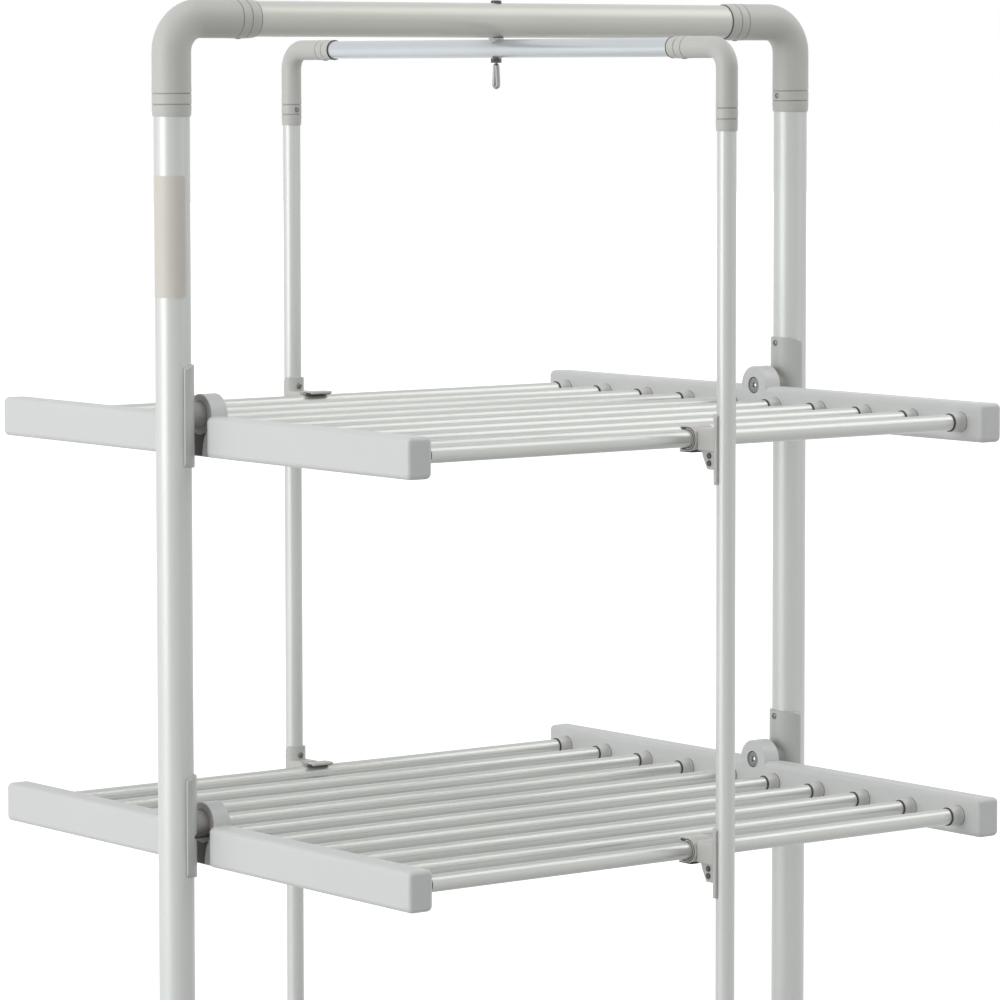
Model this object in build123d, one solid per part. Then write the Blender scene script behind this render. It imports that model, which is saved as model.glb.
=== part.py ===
"""Heated clothes airer of the tower type, in millimetres.

Two inverted U frames of aluminium tube cross in plan and turn on bolts through their top
and base bars. The outer frame (across X) carries three shelves on hinges at the middle of
its posts. The inner frame (along Y) holds the front and rear rung of each shelf in clips.
Z is up, the origin is on the floor under the middle of the tower and the front is at -Y.
"""
from build123d import *

import os
from math import cos, radians, sin

# Outer frame
OUTER_SPAN = 718.0            # between the two post axes
OUTER_TUBE_OD = 32.0
OUTER_TUBE_WALL = 1.5
OUTER_ELBOW_OD = 35.1
OUTER_ELBOW_BORE = 22.0
OUTER_BEND_RADIUS = 30.0
OUTER_LEG = 86.0              # corner of the elbow to the end of its leg
OUTER_SPIGOT = 30.0           # length that plugs into a tube

# Inner frame
INNER_SPAN = 660.0
INNER_TUBE_OD = 17.0
INNER_TUBE_WALL = 1.2
INNER_ELBOW_OD = 19.5
INNER_ELBOW_BORE = 9.0
INNER_BEND_RADIUS = 19.0
INNER_LEG = 73.0
INNER_SPIGOT = 22.0
TEE_OD = 21.0
TEE_LEG = 42.0                # axis of the tee to the end of its side leg
TEE_RISE = 46.0               # base bar axis to the top of the tee

# Elbow details, the same on both sizes
GROOVE_WIDTH = 1.6
GROOVE_DEPTH = 0.8
GROOVE_1 = 10.5               # end of the leg to the first groove
GROOVE_2 = 20.0
FIT = 0.1                     # clearance of parts that stay put in each other
RUNNING = 0.05                # radial clearance of parts that turn on each other
GAP = 0.3                     # clearance between faces that move past each other
OVERCUT = 1.0                 # how far a cut runs past what it cuts

# Heights
FOOT_PAD_H = 4.0
BASE_BAR_Z = 22.0             # axis of the outer base bar
BAR_GAP = 1.5                 # between the crossing bars
TIERS = 3
BOTTOM_TIER_Z = 384.0         # hinge axis of the lowest shelf
TIER_PITCH = 365.0
TOP_TIER_DROP = 350.0         # outer top bar axis down to the top hinge axis

# Pivot bolts through the crossing bars
PIVOT_BOLT_D = 6.0
PIVOT_HEAD_D = 10.0
PIVOT_HEAD_H = 2.5
PIVOT_HEAD_EDGE_R = 1.5
PIVOT_NUT_AF = 8.6
PIVOT_NUT_H = 4.2
SPACER_D = 14.0
SPACER_LAP = 5.5              # how far the spacer's skirt reaches down the lower bar

# Shelf
RAIL_CLEARANCE = 2.5          # hinge bracket to the rail's outer face
RAIL_T = 25.0
RAIL_H = 36.0
RAIL_OVERHANG = 29.0          # end rung to the end of the rail
RAIL_DROP = 19.0              # hinge axis down to the rail's middle height
RAIL_WALL = 3.0
RAIL_EDGE_R = 5.0
CAP_T = 5.0
CAP_EDGE_R = 4.0
CAP_PLUG = 9.0
CAP_PLUG_WALL = 2.0
RECESS_DEPTH = 7.0
RECESS_HALF = 22.0
RECESS_WALL = 2.5             # between the recess and the wiring space
RECESS_R = 6.0
BOSS_D = 37.0
BOSS_EDGE = 1.2
RUNGS = 10
END_RUNG_OD = 15.0
MID_RUNG_OD = 13.5
RUNG_WALL = 1.0
RUNG_INSET = 5.0              # rung's end past the rail's inner wall
COLLAR_LEN = 13.0
COLLAR_WALL = 1.8
COLLAR_TAPER = 0.6
GASKET_LEN = 1.5
GASKET_WALL = 1.0
CORE_D = 5.0                  # heating cord that lies in a rung's bore
CORE_CLEARANCE = 0.15

# Shelf hinge
HINGE_BOLT_D = 8.0
HINGE_HEAD_D = 14.0
HINGE_HEAD_H = 5.0
HINGE_HEAD_SINK = 1.0         # head below the rail's inner face
HINGE_SOCKET_AF = 5.0
HINGE_SOCKET_DEPTH = 2.8
COUNTERBORE_D = 16.0
BUSH_OD = 24.0
HINGE_NUT_AF = 12.0
HINGE_NUT_H = 5.5
HINGE_NUT_STAND = 2.2         # nut clear of the curved inside of the post
HINGE_BOLT_END = 1.0          # bolt past its nut
LEAD_D = 4.0
LEAD_OFFSET = (-14.5, -9.0)   # Y and Z of a supply lead from the hinge axis

# Hinge brackets on the outer posts
BRACKET_WALL = 2.5
BRACKET_H = 91.0
BRACKET_CORNER_R = 5.0
BRACKET_SCREW_INSET = 5.5

# Clips on the inner posts
CLIP_BRACKET_TOP = 4.0        # above the hinge axis
CLIP_BRACKET_H = 62.0
CLIP_BRACKET_CORNER_R = 3.0
CLIP_SCREW_TOP = 8.5          # bracket's top to the upper screw
CLIP_SCREW_BOTTOM = 5.0
BLOCK_LEN = 15.5              # between the bracket and the jaw
BLOCK_W = 20.0
BLOCK_H = 20.0
BLOCK_EDGE_R = 1.5
JAW_W = 24.0
JAW_WALL = 2.4
JAW_CLEARANCE = 0.3
JAW_MOUTH_DEG = 52.0          # half angle of the mouth
JAW_BACK = 0.8                # plate between the ring and the block
GUSSET_W = 13.0
GUSSET_DROP = 16.0            # below the block
GUSSET_NOSE = 3.0             # how far its front edge steps back over GUSSET_STEP
GUSSET_STEP = 6.0
GUSSET_FOOT = 7.0             # its lower edge, from the bracket
PIN_D = 4.0
PIN_HEAD_D = 5.2
PIN_HEAD_H = 1.0
PIN_SPACING = 6.5

# Screws
SCREW_HEAD_D = 6.0
SCREW_HEAD_H = 1.2
SCREW_SHANK_D = 3.5
SCREW_LEN = 4.2
SCREW_SOCKET_D = 2.2
SCREW_SOCKET_DEPTH = 0.7

# Feet
SOLE_LEN = 64.0
SOLE_W = 26.0
SOLE_EDGE_R = 4.0
INNER_PAD_D = 30.0
INNER_SOLE_H = 6.0

# Hanging loop under the top pivot
LOOP_W = 9.2
LOOP_LEN = 24.0
LOOP_T = 3.6
LOOP_RIM = 2.2
LOOP_EDGE_R = 1.0
LOOP_STEM_D = 3.0
LOOP_STEM_LEN = 1.7           # inside the nut
LOOP_TURN = 90.0              # turned about the vertical, from the X axis

# Power switch housing behind the right outer post
HOUSING_W = 29.0
HOUSING_D = 42.0              # from the post's middle plane backwards
HOUSING_H = 92.0
HOUSING_Z = 150.0
HOUSING_WALL = 2.5
HOUSING_EDGE_R = 4.0
COVER_T = 2.5
COVER_FRAME = 1.2
ROCKER_RISE = 57.04           # its axis above the housing's floor
ROCKER_W = 13.0
ROCKER_H = 19.0
ROCKER_T = 5.0
ROCKER_TILT = 7.0
ROCKER_PIN_D = 3.0
ROCKER_PIN_LEN = 1.6
ROCKER_SIDE_GAP = 0.4
ROCKER_END_GAP = 0.9
GLAND_OD = 12.0
GLAND_BORE = 7.0
GLAND_LEN = 16.0
GLAND_NUT_AF = 16.0
GLAND_NUT_H = 5.0
GLAND_BACK = 12.0             # its axis to the back of the housing

# Places that follow from the sizes above
POST_X = OUTER_SPAN / 2
POST_Y = INNER_SPAN / 2
OUTER_R = OUTER_TUBE_OD / 2
INNER_R = INNER_TUBE_OD / 2
TIER_Z = [BOTTOM_TIER_Z + (TIERS - 1 - k) * TIER_PITCH for k in range(TIERS)]
TOP_BAR_Z = TIER_Z[0] + TOP_TIER_DROP
BAR_STEP = OUTER_R + BAR_GAP + INNER_R
INNER_TOP_Z = TOP_BAR_Z - BAR_STEP
INNER_BASE_Z = BASE_BAR_Z + BAR_STEP
BRACKET_FACE_X = POST_X - OUTER_R - BRACKET_WALL
RAIL_OUTER_X = BRACKET_FACE_X - RAIL_CLEARANCE
RAIL_INNER_X = RAIL_OUTER_X - RAIL_T
RECESS_X = RAIL_OUTER_X - RECESS_DEPTH
CLIP_FACE_Y = POST_Y - INNER_R - BRACKET_WALL
BLOCK_FACE_Y = CLIP_FACE_Y - BLOCK_LEN
JAW_BORE_R = END_RUNG_OD / 2 + JAW_CLEARANCE
END_RUNG_Y = BLOCK_FACE_Y - JAW_BACK - JAW_WALL - JAW_BORE_R
RUNG_PITCH = 2 * END_RUNG_Y / (RUNGS - 1)
RAIL_LEN = 2 * (END_RUNG_Y + RAIL_OVERHANG)
RUNG_END_X = RAIL_INNER_X + RAIL_WALL + RUNG_INSET
HOUSING_BACK_Y = HOUSING_D
COVER_BACK_Y = HOUSING_BACK_Y + COVER_T
ROCKER_Z = HOUSING_Z + ROCKER_RISE
SCREW_BAND = (GROOVE_1 + GROOVE_2) / 2
LOW = (Align.CENTER, Align.CENTER, Align.MIN)
FRONT_BACK = (-1, 1)
SIDES = (-1, 1)


def rod(start, end, radius):
    """Solid cylinder from start to end."""
    way = Vector(*end) - Vector(*start)
    return Plane(origin=start, z_dir=way) * Cylinder(radius, way.length, align=LOW)


def pipe(start, end, outer_d, wall):
    """Tube from start to end; the core is cut a little long at both ends."""
    along = (Vector(*end) - Vector(*start)).normalized() * OVERCUT
    core = rod(Vector(*start) - along, Vector(*end) + along, outer_d / 2 - wall)
    return rod(start, end, outer_d / 2) - core


def box(x, y, z):
    """Box from three (low, high) pairs."""
    size = [high - low for low, high in (x, y, z)]
    middle = [(low + high) / 2 for low, high in (x, y, z)]
    return Pos(*middle) * Box(*size)


def turned(shape, degrees):
    """Shape turned about the vertical through the origin."""
    return Rot(0, 0, degrees) * shape


def node(name, shapes):
    """Write one sub-part, with one solid for each separate piece."""
    solids = [solid for shape in shapes for solid in shape.solids()]
    whole = solids[0] if len(solids) == 1 else Compound(children=solids)
    export_step(whole, os.path.join("parts", name + ".step"))


def screw(seat, way, length=SCREW_LEN):
    """Pan head screw: seat is under the head, way points into the material."""
    inward = Vector(*way).normalized()
    seat = Vector(*seat)
    head = rod(seat - inward * SCREW_HEAD_H, seat, SCREW_HEAD_D / 2)
    socket = rod(seat - inward * SCREW_HEAD_H, seat - inward * (SCREW_HEAD_H - SCREW_SOCKET_DEPTH),
                 SCREW_SOCKET_D / 2)
    return head - socket + rod(seat, seat + inward * length, SCREW_SHANK_D / 2)


def screw_hole(seat, way, length=SCREW_LEN):
    """Hole for the shank of the same screw, with a flat for its head."""
    inward = Vector(*way).normalized()
    seat = Vector(*seat)
    shank = rod(seat - inward * SCREW_HEAD_H, seat + inward * (length + FIT), SCREW_SHANK_D / 2 + FIT)
    flat = rod(seat - inward * (SCREW_HEAD_H + OVERCUT), seat, SCREW_HEAD_D / 2 + FIT)
    return shank + flat


def hexagon(across_flats, height):
    """Hexagonal prism on the XY plane."""
    return extrude(RegularPolygon(across_flats / 2, 6, major_radius=False), height)


# Elbows, drawn with one leg along +X and the other along -Z

def elbow_path(leg, bend):
    """Centre line of an elbow."""
    down = Line((0, 0, -leg), (0, 0, -bend))
    inset = bend * (1 - cos(radians(45)))
    turn = ThreePointArc((0, 0, -bend), (inset, 0, -inset), (bend, 0, 0))
    across = Line((bend, 0, 0), (leg, 0, 0))
    return Wire(down.edges() + turn.edges() + across.edges())


def elbow_sweep(leg, bend, radius):
    """Round bar along the elbow's centre line."""
    return sweep(Plane(origin=(0, 0, -leg), z_dir=(0, 0, 1)) * Circle(radius), path=elbow_path(leg, bend))


def ring_cut(start, end, radius):
    """Shallow groove round a leg."""
    return rod(start, end, radius + OVERCUT) - rod(start, end, radius - GROOVE_DEPTH)


def leg_screws(leg, outer_d):
    """Seat and direction of the two screws, on the inner side of the bend."""
    at = leg - SCREW_BAND
    sunk = outer_d / 2 - SCREW_HEAD_H / 2
    return [((at, 0, -sunk), (0, 0, 1)), ((sunk, 0, -at), (-1, 0, 0))]


def elbow(leg, bend, outer_d, bore_d, tube_od, tube_wall, spigot):
    """Hollow corner piece with grooves and a spigot for each tube."""
    body = elbow_sweep(leg, bend, outer_d / 2)
    body += elbow_sweep(leg + spigot, bend, tube_od / 2 - tube_wall - FIT)
    body -= elbow_sweep(leg + spigot, bend, bore_d / 2)
    for back in (GROOVE_1, GROOVE_2):
        near, far = leg - back - GROOVE_WIDTH / 2, leg - back + GROOVE_WIDTH / 2
        body -= ring_cut((near, 0, 0), (far, 0, 0), outer_d / 2)
        body -= ring_cut((0, 0, -near), (0, 0, -far), outer_d / 2)
    for seat, way in leg_screws(leg, outer_d):
        body -= screw_hole(seat, way)
    return body


def outer_elbow():
    return elbow(OUTER_LEG, OUTER_BEND_RADIUS, OUTER_ELBOW_OD, OUTER_ELBOW_BORE,
                 OUTER_TUBE_OD, OUTER_TUBE_WALL, OUTER_SPIGOT)


def inner_elbow():
    return elbow(INNER_LEG, INNER_BEND_RADIUS, INNER_ELBOW_OD, INNER_ELBOW_BORE,
                 INNER_TUBE_OD, INNER_TUBE_WALL, INNER_SPIGOT)


def outer_top_place(side):
    """Place of a top elbow; the drawn one fits the left side."""
    return Pos(side * POST_X, 0, TOP_BAR_Z) * Rot(0, 0, 0 if side < 0 else 180)


def outer_base_place(side):
    return Pos(side * POST_X, 0, BASE_BAR_Z) * Rot(180, 0, 0 if side < 0 else 180)


def inner_top_place(side):
    """Place of an inner elbow; side is -1 at the front."""
    return Pos(0, side * POST_Y, INNER_TOP_Z) * Rot(0, 0, -90 * side)


# Outer frame

def post_cuts(side):
    """Holes in an outer post for the hinge bolts and bracket screws."""
    cuts = []
    for z in TIER_Z:
        inside = side * (POST_X - OUTER_R - OVERCUT)
        cuts.append(rod((inside, 0, z), (side * POST_X, 0, z), HINGE_BOLT_D / 2 + FIT))
        for seat, way in bracket_screws(side, z):
            cuts.append(screw_hole(seat, way, SCREW_LEN + BRACKET_WALL))
    return cuts


def outer_post(side):
    low, high = BASE_BAR_Z + OUTER_LEG, TOP_BAR_Z - OUTER_LEG
    post = pipe((side * POST_X, 0, low), (side * POST_X, 0, high), OUTER_TUBE_OD, OUTER_TUBE_WALL)
    for cut in post_cuts(side):
        post -= cut
    return post


def outer_bar(z):
    """Top or base bar, with the hole for the pivot bolt."""
    reach = POST_X - OUTER_LEG
    bar = pipe((-reach, 0, z), (reach, 0, z), OUTER_TUBE_OD, OUTER_TUBE_WALL)
    return bar - rod((0, 0, z - OUTER_TUBE_OD), (0, 0, z + OUTER_TUBE_OD), PIVOT_BOLT_D / 2 + FIT)


def sole(side):
    """Block under a base elbow that stands on the rubber pad."""
    middle = side * (POST_X + OUTER_ELBOW_OD / 2 - SOLE_LEN / 2)
    block = Pos(middle, 0, FOOT_PAD_H) * Box(SOLE_LEN, SOLE_W, BASE_BAR_Z - FOOT_PAD_H, align=LOW)
    block = fillet(block.edges().filter_by(Axis.Z), SOLE_EDGE_R)
    return block - outer_base_place(side) * elbow_sweep(OUTER_LEG, OUTER_BEND_RADIUS, OUTER_ELBOW_OD / 2)


def outer_foot(side):
    return outer_base_place(side) * outer_elbow() + sole(side)


def outer_pad(side):
    middle = side * (POST_X + OUTER_ELBOW_OD / 2 - SOLE_LEN / 2)
    pad = Pos(middle, 0, 0) * Box(SOLE_LEN, SOLE_W, FOOT_PAD_H, align=LOW)
    return fillet(pad.edges().filter_by(Axis.Z), SOLE_EDGE_R)


def outer_screws():
    places = [outer_top_place(side) for side in SIDES] + [outer_base_place(side) for side in SIDES]
    seats = leg_screws(OUTER_LEG, OUTER_ELBOW_OD)
    return [place * screw(seat, way) for place in places for seat, way in seats]


# Hinge brackets

def half_shell(tube_r, wall, low, high, corner_r):
    """Half tube hugging the +X side of a post at the origin, with rounded corners."""
    shell = rod((0, 0, low), (0, 0, high), tube_r + wall)
    shell -= rod((0, 0, low - OVERCUT), (0, 0, high + OVERCUT), tube_r)
    middle = (low + high) / 2
    outline = Plane.YZ * Pos(0, middle) * RectangleRounded(2 * (tube_r + wall), high - low, corner_r)
    return shell & extrude(outline, tube_r + wall + OVERCUT)


def bracket_screws(side, z):
    """Seats of a hinge bracket's two screws, on its inner face."""
    reach = BRACKET_H / 2 - BRACKET_SCREW_INSET
    return [((side * BRACKET_FACE_X, 0, z + up * reach), (side, 0, 0)) for up in (-1, 1)]


def hinge_bracket(side, z):
    half = BRACKET_H / 2
    shell = half_shell(OUTER_R + FIT / 2, BRACKET_WALL - FIT / 2, -half, half, BRACKET_CORNER_R)
    shell = Pos(side * POST_X, 0, z) * turned(shell, 0 if side < 0 else 180)
    shell -= rod((side * RAIL_OUTER_X, 0, z), (side * POST_X, 0, z), HINGE_BOLT_D / 2 + FIT)
    for seat, way in bracket_screws(side, z):
        shell -= screw_hole(seat, way, SCREW_LEN + BRACKET_WALL)
    return shell


def hinge_bush(side, z):
    """Ring between the shelf's recess and the bracket; its back follows the bracket."""
    start, end = (side * (RECESS_X + GAP), 0, z), (side * POST_X, 0, z)
    ring = rod(start, end, BUSH_OD / 2) - rod((0, 0, z), end, HINGE_BOLT_D / 2 + FIT)
    bracket_r = OUTER_R + BRACKET_WALL + FIT / 2
    saddle = rod((side * POST_X, 0, z - BUSH_OD), (side * POST_X, 0, z + BUSH_OD), bracket_r)
    return ring - saddle


def hinge_bolt(side, z):
    """Socket head bolt from the rail's counterbore into the post."""
    head_x = RAIL_INNER_X + HINGE_HEAD_SINK
    seat_x = head_x + HINGE_HEAD_H
    nut_end = POST_X - OUTER_R + OUTER_TUBE_WALL + HINGE_NUT_STAND + HINGE_NUT_H
    bolt = rod((side * head_x, 0, z), (side * seat_x, 0, z), HINGE_HEAD_D / 2)
    bolt += rod((side * seat_x, 0, z), (side * (nut_end + HINGE_BOLT_END), 0, z), HINGE_BOLT_D / 2)
    socket = extrude(Plane(origin=(side * head_x, 0, z), z_dir=(side, 0, 0))
                     * RegularPolygon(HINGE_SOCKET_AF / 2, 6, major_radius=False), HINGE_SOCKET_DEPTH)
    return bolt - socket


def hinge_nut(side, z):
    start = POST_X - OUTER_R + OUTER_TUBE_WALL + HINGE_NUT_STAND
    place = Plane(origin=(side * start, 0, z), z_dir=(side, 0, 0))
    nut = place * hexagon(HINGE_NUT_AF, HINGE_NUT_H)
    return nut - rod((0, 0, z), (side * POST_X * 2, 0, z), HINGE_BOLT_D / 2 + RUNNING)


def supply_lead(tier):
    """Short lead across the hinge gap; it changes sides from shelf to shelf."""
    side = 1 if tier % 2 == 0 else -1
    y, z = LEAD_OFFSET[0], TIER_Z[tier] + LEAD_OFFSET[1]
    lead = rod((side * RECESS_X, y, z), (side * POST_X, y, z), LEAD_D / 2)
    bracket_r = OUTER_R + BRACKET_WALL + FIT / 2
    return lead - rod((side * POST_X, 0, z - LEAD_D), (side * POST_X, 0, z + LEAD_D), bracket_r)


# Pivots through the crossing bars

def pivot_bolt(top_z, nut_z):
    """Bolt with a low round head on top and a nut under the lower bar."""
    head = rod((0, 0, top_z), (0, 0, top_z + PIVOT_HEAD_H), PIVOT_HEAD_D / 2)
    head = fillet(head.edges().group_by(Axis.Z)[-1], PIVOT_HEAD_EDGE_R)
    return head + rod((0, 0, nut_z - PIVOT_NUT_H / 2), (0, 0, top_z), PIVOT_BOLT_D / 2)


def pivot_nut(top_z):
    """Nut below the lower bar; its lower half is open for the loop's stem."""
    nut = Pos(0, 0, top_z - PIVOT_NUT_H) * turned(hexagon(PIVOT_NUT_AF, PIVOT_NUT_H), LOOP_TURN)
    middle = top_z - PIVOT_NUT_H / 2
    nut -= rod((0, 0, middle), (0, 0, top_z + OVERCUT), PIVOT_BOLT_D / 2 + RUNNING)
    return nut - rod((0, 0, top_z - PIVOT_NUT_H - OVERCUT), (0, 0, middle), LOOP_STEM_D / 2 + RUNNING)


def top_pivot():
    nut_z = INNER_TOP_Z - INNER_R - GAP
    return [pivot_bolt(TOP_BAR_Z + OUTER_R, nut_z), pivot_nut(nut_z)]


def base_pivot():
    """Bolt through both base bars, with its nut under the outer one."""
    top_z = INNER_BASE_Z + INNER_R + GAP
    nut_z = BASE_BAR_Z - OUTER_R
    nut = Pos(0, 0, nut_z - PIVOT_NUT_H) * hexagon(PIVOT_NUT_AF, PIVOT_NUT_H)
    nut -= rod((0, 0, nut_z - PIVOT_NUT_H / 2), (0, 0, nut_z + OVERCUT), PIVOT_BOLT_D / 2 + RUNNING)
    return [pivot_bolt(top_z, nut_z), nut]


def saddle(bar_z, up):
    """Spacer between the bars, hollowed to ride on the inner bar; up is +1 above the bar."""
    flat = bar_z + up * (INNER_R + BAR_GAP - FIT)
    skirt = bar_z + up * (INNER_R - SPACER_LAP)
    body = rod((0, 0, skirt), (0, 0, flat), SPACER_D / 2)
    body -= rod((0, -SPACER_D, bar_z), (0, SPACER_D, bar_z), INNER_R + FIT / 2)
    past = up * (INNER_R + OVERCUT)
    return body - rod((0, 0, skirt - past), (0, 0, flat + past), PIVOT_BOLT_D / 2 + RUNNING)


# Inner frame

def inner_bar(z):
    reach = POST_Y - (INNER_LEG if z == INNER_TOP_Z else TEE_LEG)
    bar = pipe((0, -reach, z), (0, reach, z), INNER_TUBE_OD, INNER_TUBE_WALL)
    return bar - rod((0, 0, z - INNER_TUBE_OD), (0, 0, z + INNER_TUBE_OD), PIVOT_BOLT_D / 2 + RUNNING)


def inner_post(side):
    low, high = INNER_BASE_Z + TEE_RISE, INNER_TOP_Z - INNER_LEG
    post = pipe((0, side * POST_Y, low), (0, side * POST_Y, high), INNER_TUBE_OD, INNER_TUBE_WALL)
    for z in TIER_Z:
        for seat, way in clip_screws(side, z):
            post -= screw_hole(seat, way, SCREW_LEN + BRACKET_WALL)
    return post


def tee(side):
    """Base tee: takes the post from above and the base bar from the side, stands on its sole."""
    top = INNER_BASE_Z + TEE_RISE
    spigot_r = INNER_R - INNER_TUBE_WALL - FIT
    y, inner_y = side * POST_Y, side * (POST_Y - TEE_LEG)
    body = rod((0, y, FOOT_PAD_H), (0, y, top), TEE_OD / 2)
    body += rod((0, y, FOOT_PAD_H), (0, y, FOOT_PAD_H + INNER_SOLE_H), INNER_PAD_D / 2)
    body += rod((0, y, top), (0, y, top + INNER_SPIGOT), spigot_r)
    body += rod((0, y, INNER_BASE_Z), (0, inner_y, INNER_BASE_Z), INNER_ELBOW_OD / 2)
    body += rod((0, inner_y, INNER_BASE_Z), (0, inner_y - side * INNER_SPIGOT, INNER_BASE_Z), spigot_r)
    for seat, way in tee_screws(side):
        body -= screw_hole(seat, way)
    return body


def tee_screws(side):
    sunk = TEE_OD / 2 - SCREW_HEAD_H / 2
    at = INNER_BASE_Z + TEE_RISE - GROOVE_1
    return [((0, side * (POST_Y - sunk), at), (0, side, 0))]


def inner_screws():
    seats = leg_screws(INNER_LEG, INNER_ELBOW_OD)
    found = [inner_top_place(side) * screw(seat, way) for side in FRONT_BACK for seat, way in seats]
    return found + [screw(seat, way) for side in FRONT_BACK for seat, way in tee_screws(side)]


# Clips that hold the front and rear rung

def clip_screws(side, z):
    heights = (CLIP_BRACKET_TOP - CLIP_SCREW_TOP, CLIP_BRACKET_TOP - CLIP_BRACKET_H + CLIP_SCREW_BOTTOM)
    return [((0, side * CLIP_FACE_Y, z + up), (0, side, 0)) for up in heights]


def clip_bracket(side, z):
    top, bottom = CLIP_BRACKET_TOP, CLIP_BRACKET_TOP - CLIP_BRACKET_H
    shell = half_shell(INNER_R + FIT / 2, BRACKET_WALL - FIT / 2, bottom, top, CLIP_BRACKET_CORNER_R)
    shell = Pos(0, side * POST_Y, z) * turned(shell, -90 * side)
    for seat, way in clip_screws(side, z):
        shell -= screw_hole(seat, way, SCREW_LEN + BRACKET_WALL)
    return shell


def gusset(side, z):
    """Sloping web under the block, drawn in the YZ plane."""
    top = z - RAIL_DROP - BLOCK_H / 2
    back = POST_Y
    points = [(side * BLOCK_FACE_Y, top), (side * (BLOCK_FACE_Y + GUSSET_NOSE), top - GUSSET_STEP),
              (side * (CLIP_FACE_Y - GUSSET_FOOT), top - GUSSET_DROP),
              (side * back, top - GUSSET_DROP), (side * back, top)]
    face = Plane.YZ * make_face(Polyline(*points, close=True))
    return extrude(face, GUSSET_W / 2, both=True)


def clip_pins(side, z):
    """Two pins across the gusset."""
    pins = []
    for y, at in pin_axes(side, z):
        pin = rod((-GUSSET_W / 2, y, at), (GUSSET_W / 2, y, at), PIN_D / 2)
        for end in SIDES:
            start = end * GUSSET_W / 2
            pin += rod((start, y, at), (start + end * PIN_HEAD_H, y, at), PIN_HEAD_D / 2)
        pins.append(pin)
    return pins


def clip_block(side, z):
    """Block and gusset between the bracket and the jaw."""
    mid = z - RAIL_DROP
    block = box((-BLOCK_W / 2, BLOCK_W / 2), sorted((side * BLOCK_FACE_Y, side * POST_Y)),
                (mid - BLOCK_H / 2, mid + BLOCK_H / 2))
    block = fillet(block.edges().filter_by(Axis.Y), BLOCK_EDGE_R) + gusset(side, z)
    block -= rod((0, side * POST_Y, z - CLIP_BRACKET_H), (0, side * POST_Y, z + CLIP_BRACKET_H),
                 INNER_R + BRACKET_WALL + FIT / 2)
    for pin_y, pin_z in pin_axes(side, z):
        block -= rod((-BLOCK_W, pin_y, pin_z), (BLOCK_W, pin_y, pin_z), PIN_D / 2 + FIT)
    return block


def pin_axes(side, z):
    top = z - RAIL_DROP - BLOCK_H / 2 - PIN_D
    return [(side * (CLIP_FACE_Y - PIN_D), top - k * PIN_SPACING) for k in range(2)]


def clip_jaw(side, z):
    """C shaped jaw round the end rung, its mouth towards the middle of the shelf."""
    y, mid = side * END_RUNG_Y, z - RAIL_DROP
    half = JAW_W / 2
    outer_r = JAW_BORE_R + JAW_WALL
    jaw = rod((-half, y, mid), (half, y, mid), outer_r)
    jaw += box((-half, half), sorted((y + side * JAW_BORE_R, side * BLOCK_FACE_Y)),
               (mid - BLOCK_H / 2 + BLOCK_EDGE_R, mid + BLOCK_H / 2 - BLOCK_EDGE_R))
    reach = 2 * outer_r
    rise = reach * sin(radians(JAW_MOUTH_DEG))
    along = y - side * reach * cos(radians(JAW_MOUTH_DEG))
    mouth = Plane.YZ * make_face(Polyline((y, mid), (along, mid + rise), (along, mid - rise), close=True))
    return jaw - extrude(mouth, JAW_W, both=True) - rod((-JAW_W, y, mid), (JAW_W, y, mid), JAW_BORE_R)


# Shelves, drawn with the hinge axis at height 0 and moved to their tier

def rung_places():
    """Y and outer diameter of each rung."""
    return [(k * RUNG_PITCH - END_RUNG_Y, END_RUNG_OD if k in (0, RUNGS - 1) else MID_RUNG_OD)
            for k in range(RUNGS)]


def rail_cavity(front):
    """Wiring space in one half of the rail."""
    start = RECESS_HALF + RECESS_WALL
    return box((RAIL_INNER_X + RAIL_WALL, RAIL_OUTER_X - RAIL_WALL),
               sorted((front * start, front * RAIL_LEN / 2)),
               (-RAIL_DROP - RAIL_H / 2 + RAIL_WALL, -RAIL_DROP + RAIL_H / 2 - RAIL_WALL))


def rail_recess():
    """Clearance for the hinge bracket in the rail's outer face."""
    corner = min(RECESS_R, RECESS_DEPTH - FIT)
    outline = Pos(RAIL_OUTER_X, 0) * RectangleRounded(2 * RECESS_DEPTH, 2 * RECESS_HALF, corner)
    return Pos(0, 0, -RAIL_H * 2) * extrude(outline, RAIL_H * 4)


def right_rail():
    half = RAIL_LEN / 2 - CAP_T
    rail = box((RAIL_INNER_X, RAIL_OUTER_X), (-half, half),
               (-RAIL_DROP - RAIL_H / 2, -RAIL_DROP + RAIL_H / 2))
    rail = fillet(rail.edges().filter_by(Axis.Y), RAIL_EDGE_R)
    for front in FRONT_BACK:
        rail -= rail_cavity(front)
    rail -= rail_recess()
    boss = rod((RAIL_INNER_X, 0, 0), (RECESS_X, 0, 0), BOSS_D / 2)
    rail += chamfer(boss.edges().group_by(Axis.X)[0], BOSS_EDGE)
    for y, diameter in rung_places():
        rail -= rod((RAIL_INNER_X - OVERCUT, y, -RAIL_DROP),
                    (RAIL_INNER_X + RAIL_WALL + OVERCUT, y, -RAIL_DROP), diameter / 2 + FIT)
    seat_x = RAIL_INNER_X + HINGE_HEAD_SINK + HINGE_HEAD_H + GAP
    rail -= rod((RAIL_INNER_X - OVERCUT, 0, 0), (seat_x, 0, 0), COUNTERBORE_D / 2)
    return rail - rod((seat_x - OVERCUT, 0, 0), (RAIL_OUTER_X, 0, 0), HINGE_BOLT_D / 2 + RUNNING)


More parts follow.
